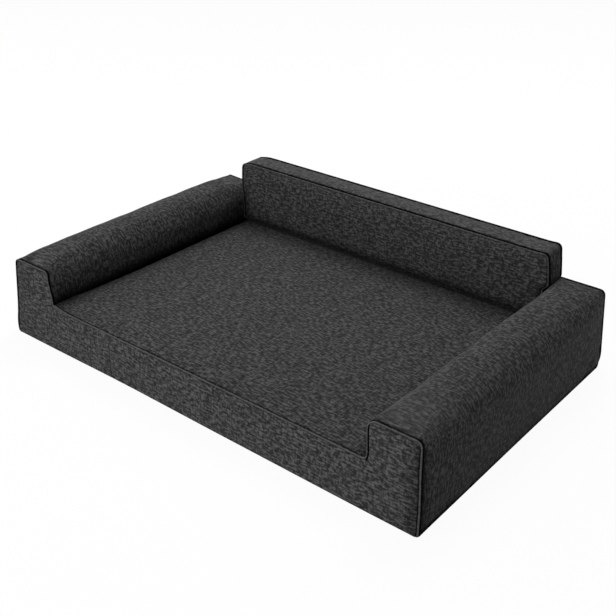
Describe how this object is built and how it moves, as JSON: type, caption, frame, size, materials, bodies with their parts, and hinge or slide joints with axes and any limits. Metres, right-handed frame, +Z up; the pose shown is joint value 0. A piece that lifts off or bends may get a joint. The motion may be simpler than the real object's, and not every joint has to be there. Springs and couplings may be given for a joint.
{
  "type": "dog bed",
  "caption": "Sofa-shaped foam dog bed with a low open front, an arm on each side and a lift-off back cushion, in a zipped tweed cover.",
  "frame": {"origin": "middle of the underside, on the floor", "axes": "+X across the bed to the right as seen from its open front, +Y from the open front to the back cushion, +Z up"},
  "size_m": [1.1446, 0.7402, 0.273],
  "materials": {
    "cover": "matte",
    "seam": "matte",
    "underside": "matte",
    "tape": "matte",
    "lining": "satin",
    "foam": "matte",
    "soft_foam": "matte",
    "zip_coil": "satin",
    "zip_metal": "satin"
  },
  "bodies": {
    "base": {"bottom_panel": "underside", "base_foam": "foam", "base_lining": "lining", "comfort_foam": "soft_foam", "arm_foam_left": "foam", "arm_foam_right": "foam", "front_panel_left": "cover", "front_panel_right": "cover", "rear_panel": "cover", "seat_panel": "cover", "arm_panel_left": "cover", "arm_panel_right": "cover", "front_seam": "seam", "rear_seam": "seam", "hook_patches": "tape", "base_zip_tapes": "tape", "base_zip_chain": "zip_coil", "base_zip_stops": "zip_metal"},
    "base_slider": {"base_zip_slider": "zip_metal"},
    "base_pull": {"base_zip_pull": "zip_metal"},
    "backrest": {"back_foam": "foam", "back_front_panel": "cover", "back_band": "cover", "back_rear_panel": "cover", "back_front_seam": "seam", "back_rear_seam": "seam", "loop_patches": "tape", "back_zip_tapes": "tape", "back_zip_chain": "zip_coil", "back_zip_stops": "zip_metal"},
    "back_slider": {"back_zip_slider": "zip_metal"},
    "back_pull": {"back_zip_pull": "zip_metal"}
  },
  "joints": [
    {"name": "backrest_lift", "type": "slide", "parent": "base", "child": "backrest", "axis": [0, 0, 1], "range_m": [0, 0.12]},
    {"name": "base_zip_run", "type": "slide", "parent": "base", "child": "base_slider", "axis": [-1, 0, 0], "range_m": [0, 0.925]},
    {"name": "base_pull_swing", "type": "hinge", "parent": "base_slider", "child": "base_pull", "pos_m": [0.4627, 0.36889, 0.03619], "axis": [0, 0.0679, -0.9977], "range_deg": [0, 180]},
    {"name": "back_zip_run", "type": "slide", "parent": "backrest", "child": "back_slider", "axis": [-1, 0, 0], "range_m": [0, 0.725]},
    {"name": "back_pull_swing", "type": "hinge", "parent": "back_slider", "child": "back_pull", "pos_m": [0.3627, 0.35835, 0.1387], "axis": [0, 0, -1], "range_deg": [0, 180]}
  ]
}
